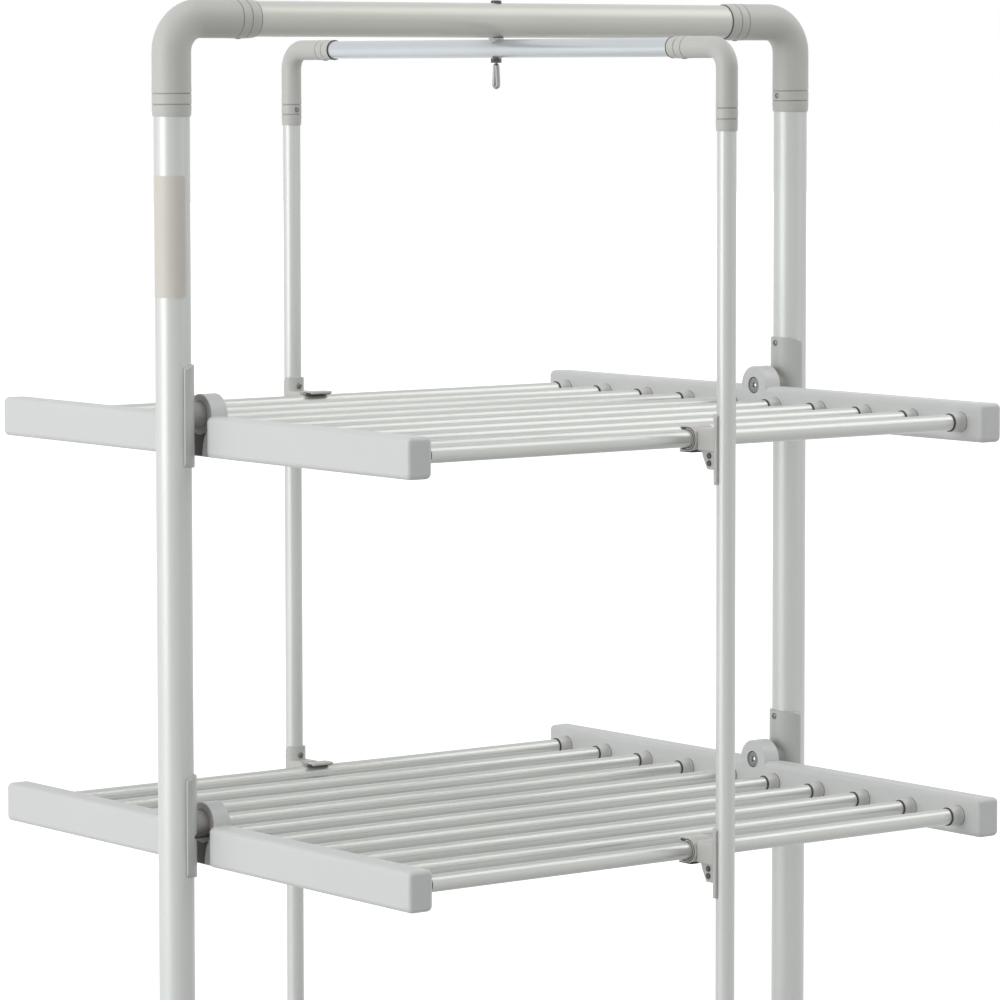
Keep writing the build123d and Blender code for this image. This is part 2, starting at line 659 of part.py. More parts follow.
def right_cap(front):
    """End cap with a hollow plug that enters the rail."""
    end, start = front * RAIL_LEN / 2, front * (RAIL_LEN / 2 - CAP_T)
    plate = box((RAIL_INNER_X, RAIL_OUTER_X), sorted((start, end)),
                (-RAIL_DROP - RAIL_H / 2, -RAIL_DROP + RAIL_H / 2))
    plate = fillet(plate.edges().filter_by(Axis.Y), RAIL_EDGE_R)
    rim = plate.edges().group_by(Axis.Y)[0 if front < 0 else -1]
    plate = fillet(rim, CAP_EDGE_R)
    inset = RAIL_WALL + FIT
    plug = box((RAIL_INNER_X + inset, RAIL_OUTER_X - inset), sorted((start - front * CAP_PLUG, start)),
               (-RAIL_DROP - RAIL_H / 2 + inset, -RAIL_DROP + RAIL_H / 2 - inset))
    inset += CAP_PLUG_WALL
    plug -= box((RAIL_INNER_X + inset, RAIL_OUTER_X - inset),
                sorted((start - front * (CAP_PLUG + OVERCUT), start)),
                (-RAIL_DROP - RAIL_H / 2 + inset, -RAIL_DROP + RAIL_H / 2 - inset))
    return plate + plug


def rung(y, diameter):
    return pipe((-RUNG_END_X, y, -RAIL_DROP), (RUNG_END_X, y, -RAIL_DROP), diameter, RUNG_WALL)


def heating_core(y, diameter):
    """Heating cord along the bottom of the rung's bore."""
    z = -RAIL_DROP - (diameter / 2 - RUNG_WALL - CORE_CLEARANCE - CORE_D / 2)
    return rod((-RUNG_END_X, y, z), (RUNG_END_X, y, z), CORE_D / 2)


def collar(side, y, diameter):
    """Slightly tapered sleeve where a rung meets the rail."""
    start, end = (side * RAIL_INNER_X, y, -RAIL_DROP), (side * (RAIL_INNER_X - COLLAR_LEN), y, -RAIL_DROP)
    big = diameter / 2 + COLLAR_WALL
    body = Plane(origin=start, z_dir=(-side, 0, 0)) * Cone(big, big - COLLAR_TAPER, COLLAR_LEN, align=LOW)
    past = side * OVERCUT
    return body - rod((start[0] + past, y, -RAIL_DROP), (end[0] - past, y, -RAIL_DROP),
                      diameter / 2 + FIT / 2)


def gasket(side, y, diameter):
    """Dark ring at the inner end of a collar."""
    far = side * (RAIL_INNER_X - COLLAR_LEN)
    near = far - side * GASKET_LEN
    ring = rod((far, y, -RAIL_DROP), (near, y, -RAIL_DROP), diameter / 2 + GASKET_WALL)
    past = side * OVERCUT
    return ring - rod((far + past, y, -RAIL_DROP), (near - past, y, -RAIL_DROP), diameter / 2 + FIT / 2)


def both_sides(shape):
    return [mirror(shape, about=Plane.YZ), shape]


def write_shelf(number, z):
    """Write the seven nodes of one shelf."""
    up = Pos(0, 0, z)
    left, right = both_sides(right_rail())
    node(f"rail_left_{number}", [up * left])
    node(f"rail_right_{number}", [up * right])
    caps = [cap for front in FRONT_BACK for cap in both_sides(right_cap(front))]
    node(f"rail_caps_{number}", [up * cap for cap in caps])
    node(f"rungs_{number}", [up * rung(*place) for place in rung_places()])
    node(f"heating_cores_{number}", [up * heating_core(*place) for place in rung_places()])
    node(f"rung_collars_{number}", [up * collar(side, *place) for side in SIDES for place in rung_places()])
    node(f"rung_gaskets_{number}", [up * gasket(side, *place) for side in SIDES for place in rung_places()])


# Hanging loop and switch

def hanging_loop():
    """Flat ring on a short stem that turns in the pivot nut."""
    top = INNER_TOP_Z - INNER_R - GAP - PIVOT_NUT_H - GAP
    outline = Plane.XZ * (SlotOverall(LOOP_LEN, LOOP_W, rotation=90)
                          - SlotOverall(LOOP_LEN - 2 * LOOP_RIM, LOOP_W - 2 * LOOP_RIM, rotation=90))
    ring = extrude(outline, LOOP_T / 2, both=True)
    layers = ring.edges().group_by(Axis.Y)
    ring = fillet(layers[0] + layers[-1], LOOP_EDGE_R)
    stem = rod((0, 0, LOOP_LEN / 2 - LOOP_RIM / 2), (0, 0, LOOP_LEN / 2 + GAP + LOOP_STEM_LEN),
               LOOP_STEM_D / 2)
    return Pos(0, 0, top - LOOP_LEN / 2) * turned(ring + stem, LOOP_TURN)


def housing_span(inset):
    half = HOUSING_W / 2 - inset
    return (POST_X - half, POST_X + half)


def switch_housing():
    """Open box that hugs the back of the post."""
    body = box(housing_span(0), (0, HOUSING_BACK_Y), (HOUSING_Z, HOUSING_Z + HOUSING_H))
    body = fillet(body.edges().filter_by(Axis.Y), HOUSING_EDGE_R)
    body -= box(housing_span(HOUSING_WALL), (OUTER_R + HOUSING_WALL, HOUSING_BACK_Y + OVERCUT),
                (HOUSING_Z + HOUSING_WALL, HOUSING_Z + HOUSING_H - HOUSING_WALL))
    body -= rod((POST_X, 0, 0), (POST_X, 0, HOUSING_Z + 2 * HOUSING_H), OUTER_R + FIT)
    return body - gland_rod(HOUSING_Z - OVERCUT, HOUSING_Z + HOUSING_WALL + OVERCUT, GLAND_OD / 2 + FIT)


def gland_rod(low, high, radius):
    y = HOUSING_BACK_Y - GLAND_BACK
    return rod((POST_X, y, low), (POST_X, y, high), radius)


def cable_gland():
    """Sleeve through the housing's floor, with a hexagonal collar below it."""
    top = HOUSING_Z + HOUSING_WALL + GLAND_NUT_H
    sleeve = gland_rod(top - GLAND_LEN, top, GLAND_OD / 2)
    centre = sleeve.center()
    nut = Pos(centre.X, centre.Y, HOUSING_Z - GLAND_NUT_H) * hexagon(GLAND_NUT_AF, GLAND_NUT_H)
    return sleeve + nut - gland_rod(top - GLAND_LEN - OVERCUT, top + OVERCUT, GLAND_BORE / 2)


def switch_cover():
    """Back plate with the rocker's opening and the two eyes of its pin."""
    plate = box(housing_span(0), (HOUSING_BACK_Y, COVER_BACK_Y), (HOUSING_Z, HOUSING_Z + HOUSING_H))
    plate = fillet(plate.edges().filter_by(Axis.Y), HOUSING_EDGE_R)
    half_w = ROCKER_W / 2 + ROCKER_SIDE_GAP
    half_h = ROCKER_H / 2 + ROCKER_END_GAP
    frame_x = (POST_X - half_w - COVER_FRAME, POST_X + half_w + COVER_FRAME)
    frame_z = (ROCKER_Z - half_h - COVER_FRAME, ROCKER_Z + half_h + COVER_FRAME)
    plate += box(frame_x, (HOUSING_BACK_Y - ROCKER_T, COVER_BACK_Y), frame_z)
    plate -= box((POST_X - half_w, POST_X + half_w),
                 (HOUSING_BACK_Y - ROCKER_T - OVERCUT, COVER_BACK_Y + OVERCUT),
                 (ROCKER_Z - half_h, ROCKER_Z + half_h))
    return plate - rocker_axis_rod(half_w + COVER_FRAME + OVERCUT, ROCKER_PIN_D / 2 + RUNNING)


def rocker_axis_rod(half, radius):
    y = HOUSING_BACK_Y
    return rod((POST_X - half, y, ROCKER_Z), (POST_X + half, y, ROCKER_Z), radius)


def switch_rocker():
    """Rocker that stands tilted to off; its pin sits in the cover's eyes."""
    cap = box((-ROCKER_W / 2, ROCKER_W / 2), (-ROCKER_T / 2, ROCKER_T / 2 + COVER_T),
              (-ROCKER_H / 2, ROCKER_H / 2))
    cap = Pos(POST_X, HOUSING_BACK_Y, ROCKER_Z) * Rot(ROCKER_TILT, 0, 0) * cap
    return cap + rocker_axis_rod(ROCKER_W / 2 + ROCKER_SIDE_GAP + ROCKER_PIN_LEN / 2, ROCKER_PIN_D / 2)


# Every sub-part

def write_outer_frame():
    node("outer_post_left", [outer_post(-1)])
    node("outer_post_right", [outer_post(1)])
    node("outer_top_bar", [outer_bar(TOP_BAR_Z)])
    node("outer_base_bar", [outer_bar(BASE_BAR_Z)])
    node("outer_elbow_left", [outer_top_place(-1) * outer_elbow()])
    node("outer_elbow_right", [outer_top_place(1) * outer_elbow()])
    node("outer_foot_left", [outer_foot(-1)])
    node("outer_foot_right", [outer_foot(1)])
    node("outer_foot_pads", [outer_pad(side) for side in SIDES])
    node("outer_frame_screws", outer_screws())
    spots = [(side, z) for side in SIDES for z in TIER_Z]
    node("hinge_brackets", [hinge_bracket(*spot) for spot in spots])
    node("bracket_screws", [screw(seat, way, SCREW_LEN + BRACKET_WALL)
                            for spot in spots for seat, way in bracket_screws(*spot)])
    node("hinge_bushes", [hinge_bush(*spot) for spot in spots])
    node("hinge_bolts", [make(*spot) for spot in spots for make in (hinge_bolt, hinge_nut)])
    node("pivot_bolts", top_pivot() + base_pivot())


def write_inner_frame():
    node("inner_post_front", [inner_post(-1)])
    node("inner_post_rear", [inner_post(1)])
    node("inner_top_bar", [inner_bar(INNER_TOP_Z)])
    node("inner_base_bar", [inner_bar(INNER_BASE_Z)])
    node("inner_elbows", [inner_top_place(side) * inner_elbow() for side in FRONT_BACK])
    node("inner_tees", [tee(side) for side in FRONT_BACK])
    node("inner_foot_pads", [rod((0, side * POST_Y, 0), (0, side * POST_Y, FOOT_PAD_H), INNER_PAD_D / 2)
                             for side in FRONT_BACK])
    node("inner_frame_screws", inner_screws())
    node("pivot_spacers", [saddle(INNER_TOP_Z, 1), saddle(INNER_BASE_Z, -1)])
    spots = [(side, z) for side in FRONT_BACK for z in TIER_Z]
    node("clip_brackets", [clip_bracket(*spot) for spot in spots])
    node("clip_screws", [screw(seat, way, SCREW_LEN + BRACKET_WALL)
                         for spot in spots for seat, way in clip_screws(*spot)])
    node("clip_blocks", [clip_block(*spot) for spot in spots])
    node("clip_pins", [pin for spot in spots for pin in clip_pins(*spot)])


def write_switch():
    node("switch_housing", [switch_housing()])
    node("switch_cover", [switch_cover()])
    node("switch_rocker", [switch_rocker()])
    node("cable_gland", [cable_gland()])


def main():
    os.makedirs("parts", exist_ok=True)
    write_outer_frame()
    write_inner_frame()
    write_switch()
    node("hanging_loop", [hanging_loop()])
    for tier, z in enumerate(TIER_Z):
        number = tier + 1
        write_shelf(number, z)
        node(f"clip_jaws_{number}", [clip_jaw(side, z) for side in FRONT_BACK])
        node(f"supply_lead_{number}", [supply_lead(tier)])


main()
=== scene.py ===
"""Looks of a heated clothes airer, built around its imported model.

The scene is in metres, with X along the rungs, the front at -Y and Z up. Sizes of the pieces
are written in millimetres and turned into metres where a mesh is made.
"""
from math import cos, pi, radians, sin, sqrt

import bpy
from mathutils import Matrix, Vector


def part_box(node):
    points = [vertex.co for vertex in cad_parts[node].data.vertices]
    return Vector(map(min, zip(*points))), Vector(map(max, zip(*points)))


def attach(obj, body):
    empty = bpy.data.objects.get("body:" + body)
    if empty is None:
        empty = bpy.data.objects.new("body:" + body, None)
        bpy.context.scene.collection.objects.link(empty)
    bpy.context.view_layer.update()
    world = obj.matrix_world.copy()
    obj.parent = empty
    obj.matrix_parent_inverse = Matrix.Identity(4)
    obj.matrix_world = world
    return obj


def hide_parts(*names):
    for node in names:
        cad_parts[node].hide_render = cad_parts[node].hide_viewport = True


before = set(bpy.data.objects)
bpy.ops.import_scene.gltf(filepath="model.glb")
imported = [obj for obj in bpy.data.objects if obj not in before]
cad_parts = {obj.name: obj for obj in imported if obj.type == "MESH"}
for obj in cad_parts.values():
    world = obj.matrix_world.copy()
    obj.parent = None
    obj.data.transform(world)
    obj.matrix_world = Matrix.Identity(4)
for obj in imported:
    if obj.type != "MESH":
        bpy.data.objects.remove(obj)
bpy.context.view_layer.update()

MM = 0.001
SMOOTH_ANGLE = radians(38)
BEVEL_SEGMENTS = 2
FINE_STEPS = 64
ROUND_STEPS = 32
SMALL_STEPS = 24
X, Y, Z = Vector((1, 0, 0)), Vector((0, 1, 0)), Vector((0, 0, 1))
SIDES = (-1, 1)

# Frames and shelves, in millimetres as all sizes below
POST_X = 359.0
POST_Y = 330.0
TOP_BAR_Z = 1464.0
BASE_BAR_Z = 22.0
INNER_TOP_Z = 1438.0
INNER_BASE_Z = 48.0
TIER_Z = (1114.0, 749.0, 384.0)
RUNG_Z_DROP = 19.0
RUNGS = 10
RUNG_PITCH = 65.0
END_RUNG_Y = 292.5
END_RUNG_R = 7.5
MID_RUNG_R = 6.75
RAIL_INNER_X = 313.0
FIT = 0.05                    # gap between a sleeve or strap and the tube in it

# Elbows: a profile's first number runs along the leg, from its end
OUTER = {"tube_r": 16.0, "elbow_r": 17.55, "spigot_r": 14.4, "bore_r": 11.0, "bend": 30.0,
         "leg": 86.0, "spigot": 30.0}
INNER = {"tube_r": 8.5, "elbow_r": 9.75, "spigot_r": 7.2, "bore_r": 4.5, "bend": 19.0,
         "leg": 73.0, "spigot": 22.0}
ELBOW_ARC_STEPS = 22
LEG_RIM = ((0.0, 0.75), (0.25, 0.45), (1.2, 0.28), (5.0, 0.12))    # share of the rise missing
PLAIN_DROP = 0.16             # plain part of an elbow below its widest band
LEG_FADE = ((24.0, 0.02), (28.0, PLAIN_DROP))
GROOVES = (10.5, 20.0)
GROOVE_DEPTH = 0.78
GROOVE_SHAPE = ((-1.5, 0.02), (-0.95, 0.01), (-0.6, 0.08), (-0.42, 0.5), (-0.35, GROOVE_DEPTH),
                (0.35, GROOVE_DEPTH), (0.42, 0.5), (0.6, 0.08), (0.95, 0.01), (1.5, 0.02))
# darker ring on a groove's floor: painted shade in the groove
GROOVE_SHADE = ((-0.33, -0.1), (-0.33, 0.1), (0.33, 0.1), (0.33, -0.1))
# dark rings of painted shade for the gap where a bar enters its elbow
OUTER_GAP_SHADE = ((-0.2, 16.02), (-0.2, 16.7), (0.3, 16.7), (0.6, 16.45), (0.6, 16.02))
INNER_GAP_SHADE = ((-0.2, 8.52), (-0.2, 9.65), (0.3, 9.65), (0.6, 9.35), (0.6, 8.52))
INNER_GAP_SHADE_STEPS = 48

# Screws
SCREW_BAND = 15.25            # leg's end to its screw
SCREW_R = 3.0
SCREW_H = 1.2
SCREW_STEPS = 36
SCREW_START = -pi / 12
SCREW_PROFILE = ((-4.0, 0.2), (-3.6, 1.3), (0.0, 1.6), (0.0, SCREW_R - 0.1), (0.15, SCREW_R),
                 (0.55, SCREW_R - 0.08), (0.9, SCREW_R - 0.5), (1.1, SCREW_R - 1.0),
                 (SCREW_H, SCREW_R - 1.4))
CROSS_HALF_W = 0.45
CROSS_REACH = 1.45
CROSS_DEPTH = 0.7
CROSS_TAPER = 0.7
HINGE_SCREW_INSET = 5.5
CLIP_SCREW_DROPS = (4.5, 53.0)
TEE_FACE = 9.9
TEE_SCREW_RISE = 35.5

# Straps, clips and hinges
STRAP_WALL = 2.5
STRAP_STEPS = 40
HINGE_STRAP_H = 91.0
HINGE_STRAP_CORNER = 5.0
CLIP_STRAP_H = 62.0
CLIP_STRAP_TOP = 4.0
CLIP_STRAP_CORNER = 3.0
BLOCK_HALF = 10.0
BLOCK_FACE = 26.5             # post axis to the face of the block
BLOCK_STEPS = 20
BLOCK_CORNER = 1.8
BLOCK_EDGE = 0.999            # share of the half width, where the corner still has a height
GUSSET = ((9.5, -16.0), (18.0, -16.0), (BLOCK_FACE - 3.0, -6.0), (BLOCK_FACE - 0.8, 0), (9.5, 0))
GUSSET_HALF_W = 6.5
JAW_HALF_W = 12.0
JAW_SHELL = (9.9, 11.2, 11.0)     # inner radius, outer radius and reach of the lips
# dark pad round the rung: rubber lining, and painted shade of the gap and groove at the jaw's face
JAW_PAD = (7.62, 10.0, 8.2)
JAW_LINER = (8.3, 9.1, 2.0)
# dark strip under the lower lip: painted shade
JAW_LIP_SHADE = ((-11.5, 11.0), (-11.5, 11.9), (5.0, 11.9), (5.0, 10.6))
LIP_BEAD_R = 1.35
LIP_BEAD_OUT = 0.1
LIP_BEAD_INSET = 0.2
LINER_PROUD = 0.5
PAD_PROUD = 0.1
RECESS_X = 331.0
# grey washer, darker than the rail: partly painted shade of the boss face
RECESS_WASHER = ((0.02, 12.3), (0.02, 17.7), (0.9, 17.7), (1.2, 17.3), (1.2, 12.3))
# dark sheet of painted shade on the recess floor, where the gap by the strap lies in shadow
RECESS_SHADE = ((-9.5, -15.5), (-6.5, -19.5), (-4.6, -25.0), (-3.4, -31.0), (-2.8, -36.4),
               (15.4, -36.4), (15.4, -15.5))
RECESS_SHADE_H = (0.02, 0.3)
BOLT_HEAD_IN = 2.4
# bright dome in a bolt's head: a painted glint
BOLT_GLINT_DOME = ((-0.8, 2.3), (0.0, 2.3), (0.5, 1.9), (0.8, 1.2), (0.9, 0.4))

# Hanging loop
LOOP_LEN = 24.0
LOOP_BOTTOM_R = 2.5
LOOP_TOP_R = 1.3
LOOP_WIRE_R = 2.0
LOOP_WIRE_WIDTH = 1.15        # times its thickness
LOOP_WIRE_STEPS = 16
LOOP_STEM_R = 1.5

# Sticker
LABEL_Z = 1272.5
LABEL_HALF_H = 53.5
LABEL_HALF_ARC = radians(72)
LABEL_TURN = radians(-150)
LABEL_CORNER = 2.5
LABEL_FILM = (0.02, 0.16)     # its two faces, out from the post
LABEL_STEPS = 44

# Stage, lamps and camera, in metres and watts
FLOOR_HALF = 40.0
FLOOR_GREY = (0.5, 0.5, 0.5, 1)
GLOW_SPREAD = 0.1
WHITE = (1, 1, 1, 1)
BLACK = (0, 0, 0, 1)
WORLD_LEVEL = 0.43
LAMPS = {                     # place, target, power, width and height
    "key": ((-3.8, 0.3, 1.7), (0, 0, 1.0), 55, 2.2, 2.4),
    "panel": ((-3.2, 1.4, 1.3), (0, 1.2, 1.3), 22, 5.0, 2.6),
    "top": ((-0.4, -0.2, 3.8), (0, 0, 1.0), 12, 1.6, 1.6),
    "spark": ((2.1, -1.1, 3.4), (0, 0, 1.0), 28, 2.0, 2.0),
    "fill": ((2.4, -3.2, 1.8), (0, 0, 0.8), 9, 2.4, 2.4),
}
CAMERA_AT = (-2.67921, -3.50415, 1.41546)
CAMERA_TURN = (90 - 4.285, 0.074, -37.446)
CAMERA_SENSOR = 36
CAMERA_LENS = 171.446
CAMERA_SHIFT = -0.07
CAMERA_CLIP_END = 200


# Materials

MIX_FACTOR, MIX_A, MIX_B, MIX_RESULT = 0, 6, 7, 2     # sockets of a Mix node set to colours


class Value:
    """An output in a material's nodes; sums and products add Math nodes."""

    def __init__(self, paint, socket):
        self.paint = paint
        self.socket = socket

    def maths(self, operation, *inputs):
        return self.paint.node("ShaderNodeMath", {"operation": operation}, dict(enumerate(inputs)))

    def __add__(self, other):
        return self.maths("ADD", self, other)

    def __radd__(self, other):
        return self.maths("ADD", other, self)

    def __mul__(self, other):
        return self.maths("MULTIPLY", self, other)

    def __rmul__(self, other):
        return self.maths("MULTIPLY", other, self)


class Paint:
    """One material: its principled shader and the method that adds every other node."""

    def __init__(self, name, **sockets):
        self.material = bpy.data.materials.new(name)
        self.material.use_nodes = True
        self.take(self.material.node_tree, "BSDF_PRINCIPLED")
        for socket, value in sockets.items():
            self.shader.inputs[socket.replace("_", " ")].default_value = value

    def take(self, tree, kind):
        self.tree = tree
        self.shader = next(n for n in tree.nodes if n.type == kind)

    def node(self, kind, settings=None, inputs=None, output=0):
        made = self.tree.nodes.new(kind)
        for key, value in (settings or {}).items():
            if key == "stops":
                set_stops(made.color_ramp, value)
            else:
                setattr(made, key, value)
        for key, value in (inputs or {}).items():
            self.feed(made.inputs[key], value)
        return Value(self, made.outputs[output])

    def feed(self, socket, value):
        if isinstance(value, Value):
            self.tree.links.new(value.socket, socket)
        else:
            socket.default_value = value

    def drive(self, socket, value):
        self.feed(self.shader.inputs[socket], value)

    def place(self, stretch=(1, 1, 1)):
        """Position on the object in metres, stretched along its axes."""
        where = self.node("ShaderNodeTexCoord", output="Object")
        return self.node("ShaderNodeVectorMath", {"operation": "MULTIPLY"}, {0: where, 1: stretch})

    def noise(self, scale, stretch=(1, 1, 1), detail=2.0, roughness=0.5):
        return self.node("ShaderNodeTexNoise", {"noise_dimensions": "3D"},
                         {"Vector": self.place(stretch), "Scale": scale, "Detail": detail,
                          "Roughness": roughness})

    def ramp(self, value, *stops):
        return self.node("ShaderNodeValToRGB", {"stops": stops}, {0: value})

    def mix(self, factor, first, second):
        return self.node("ShaderNodeMix", {"data_type": "RGBA"},
                         {MIX_FACTOR: factor, MIX_A: first, MIX_B: second}, MIX_RESULT)

    def bump(self, height, strength, distance):
        relief = self.node("ShaderNodeBump", {},
                           {"Strength": strength, "Distance": distance, "Height": height})
        self.drive("Normal", relief)

    def sight(self):
        """1 for rays that show the background: from the camera, or by reflection or glass."""
        rays = [self.node("ShaderNodeLightPath", output=f"Is {kind} Ray")
                for kind in ("Camera", "Glossy", "Transmission")]
        return rays[0].maths("MAXIMUM", rays[0].maths("MAXIMUM", *rays[:2]), rays[2])


class Sky(Paint):
    """The world's nodes, which end in its background."""

    def __init__(self, name):
        self.world = bpy.data.worlds.new(name)
        self.world.use_nodes = True
        self.take(self.world.node_tree, "BACKGROUND")


def set_stops(ramp, stops):
    for number, (at, colour) in enumerate(stops):
        element = ramp.elements[number] if number < 2 else ramp.elements.new(at)
        element.position = at
        element.color = colour


def rgb(red, green, blue):
    """Linear colour with alpha from 0-255 display values."""
    parts = []
    for part in (red, green, blue):
        part /= 255
        parts.append(part / 12.92 if part <= 0.04045 else ((part + 0.055) / 1.055) ** 2.4)
    return (*parts, 1)


def shaded(colour, factor):
    return (*(part * factor for part in colour[:3]), 1)


ALONG = {"x": (0.02, 1, 1), "y": (1, 0.02, 1), "z": (1, 1, 0.02)}     # draws noise out into lines


def satin_metal(name, colour, axis, metallic, roughness):
    """Satin anodised tube: faint lines along its length and slow drifts of tone."""
    paint = Paint(name, Metallic=metallic, Specular_IOR_Level=0.3)
    lines = paint.noise(900, ALONG[axis], detail=3, roughness=0.6)
    drift = paint.noise(9, detail=2)
    tone = paint.mix(drift, shaded(colour, 0.965), shaded(colour, 1.03))
    paint.drive("Base Color", paint.mix(lines * 0.35, tone, shaded(colour, 0.9)))
    paint.drive("Roughness", roughness - 0.05 + lines * 0.1)
    paint.bump(lines, 0.03, 0.0002)
    return paint.material


def moulded(name, colour, roughness):
    """Moulded plastic with a fine spark-eroded grain and a slight clouding of colour."""
    paint = Paint(name)
    clouds = paint.noise(14, detail=3)
    grain = paint.noise(1400, detail=2, roughness=0.7)
    paint.drive("Base Color", paint.mix(clouds, shaded(colour, 0.965), shaded(colour, 1.025)))
    paint.drive("Roughness", roughness - 0.06 + grain * 0.12)
    paint.bump(grain, 0.12, 0.0002)
    return paint.material


def painted(name, colour, roughness):
    """Powder coated metal: low orange peel and a faint speckle."""
    paint = Paint(name)
    peel = paint.noise(260, detail=1)
    speckle = paint.noise(2600, detail=1)
    clouds = paint.noise(7, detail=2)
    body = paint.mix(clouds, shaded(colour, 0.975), shaded(colour, 1.02))
    paint.drive("Base Color", paint.mix(speckle * 0.12, body, shaded(colour, 0.8)))
    paint.drive("Roughness", roughness - 0.04 + peel * 0.08)
    paint.bump(peel, 0.07, 0.0003)
    return paint.material


def zinc(name, colour, roughness):
    """Plated steel with small mottled patches."""
    paint = Paint(name, Metallic=0.9)
    mottle = paint.noise(420, detail=3, roughness=0.6)
    paint.drive("Base Color", paint.mix(mottle, shaded(colour, 0.78), shaded(colour, 1.1)))
    paint.drive("Roughness", roughness - 0.08 + mottle * 0.16)
    paint.bump(mottle, 0.08, 0.0001)
    return paint.material


def soft_rubber(name, colour, roughness):
    """Rubber or silicone with a fine grain, lighter where dust lies on it."""
    paint = Paint(name)
    grain = paint.noise(1800, detail=2)
    dust = paint.noise(60, detail=3)
    paint.drive("Base Color", paint.mix(dust * 0.5, colour, shaded(colour, 1.5)))
    paint.drive("Roughness", roughness - 0.05 + grain * 0.1)
    paint.bump(grain, 0.18, 0.0002)
    return paint.material


def paper(name, colour):
    """Matt coated film of a blank sticker."""
    paint = Paint(name)
    fibre = paint.noise(1200, (1, 1, 0.3), detail=3)
    stain = paint.noise(40, detail=2)
    paint.drive("Base Color", paint.mix(stain, shaded(colour, 0.97), shaded(colour, 1.02)))
    paint.drive("Roughness", 0.42 + fibre * 0.12)
    paint.bump(fibre, 0.05, 0.0001)
    return paint.material


FINISHES = {
    "post": satin_metal("anodised_post", rgb(214, 217, 214), "z", 0.2, 0.36),
    "bar": satin_metal("anodised_bar", rgb(212, 213, 205), "x", 0.15, 0.34),
    "inner_bar": satin_metal("polished_bar", rgb(203, 208, 212), "y", 0.45, 0.3),
    "rung": satin_metal("satin_rung", rgb(208, 210, 206), "x", 0.3, 0.3),
    "elbow": moulded("moulded_elbow", rgb(200, 200, 196), 0.5),
    "clip": moulded("moulded_clip", rgb(200, 199, 195), 0.45),
    "collar": moulded("moulded_collar", rgb(210, 210, 206), 0.42),
    "switch": moulded("moulded_rocker", rgb(60, 60, 60), 0.4),
    "rail": painted("coated_rail", rgb(214, 216, 215), 0.45),
    "bracket": painted("coated_bracket", rgb(198, 200, 196), 0.36),
    "steel": zinc("plated_steel", rgb(128, 128, 126), 0.34),
    "pivot": zinc("dark_steel", rgb(84, 83, 80), 0.4),
    # dark rubber of the gaskets and pads; also the colour of the painted shade rings, strips and
    # sheets
    "rubber": soft_rubber("dark_rubber_and_painted_shade", rgb(58, 60, 58), 0.62),
    "silicone": soft_rubber("grey_silicone", rgb(150, 150, 146), 0.5),
    "label": paper("sticker_film", rgb(216, 212, 204)),
    # darker grey rings on the groove floors: painted shade in the elbows' grooves
    "seam": moulded("painted_groove_shade", rgb(168, 166, 162), 0.6),
    "lead": soft_rubber("lead_sheath", rgb(44, 44, 46), 0.35),
    # grey of the hinge bushes; on the recess washers it also stands as painted shade of the boss
    # face
    "bush": moulded("hinge_bush", rgb(158, 156, 153), 0.5),
    # near white steel of the bolt domes: a painted glint
    "bright": zinc("painted_glint_steel", rgb(235, 235, 232), 0.25),
    "cast": zinc("cast_loop", rgb(150, 151, 150), 0.4),
}

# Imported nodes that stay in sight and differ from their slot's finish
NODE_FINISHES = {
    "outer_top_bar": "bar", "outer_base_bar": "bar",
    "inner_top_bar": "inner_bar", "inner_base_bar": "inner_bar",
    "hinge_bushes": "bush", "hinge_bolts": "cast",
    "pivot_bolts": "pivot", "clip_pins": "pivot",
    "supply_lead_1": "lead", "supply_lead_2": "lead", "supply_lead_3": "lead",
}
SLOT_FINISHES = {"tube": "post"}


def dress_nodes():
    """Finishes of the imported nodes."""
    for name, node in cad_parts.items():
        slot = node.material_slots[0].material.name.split(".")[0]
        finish = NODE_FINISHES.get(name) or SLOT_FINISHES.get(slot, slot)
        for place in node.material_slots:
            place.material = FINISHES[finish]


# Mesh making

def turns(steps, start=0.0):
    """Angles of even steps round a circle."""
    return [start + 2 * pi * step / steps for step in range(steps)]


def ring(radius, height, steps, start=0.0):
    """Points of a level circle."""
    return [(radius * cos(a), radius * sin(a), height) for a in turns(steps, start)]


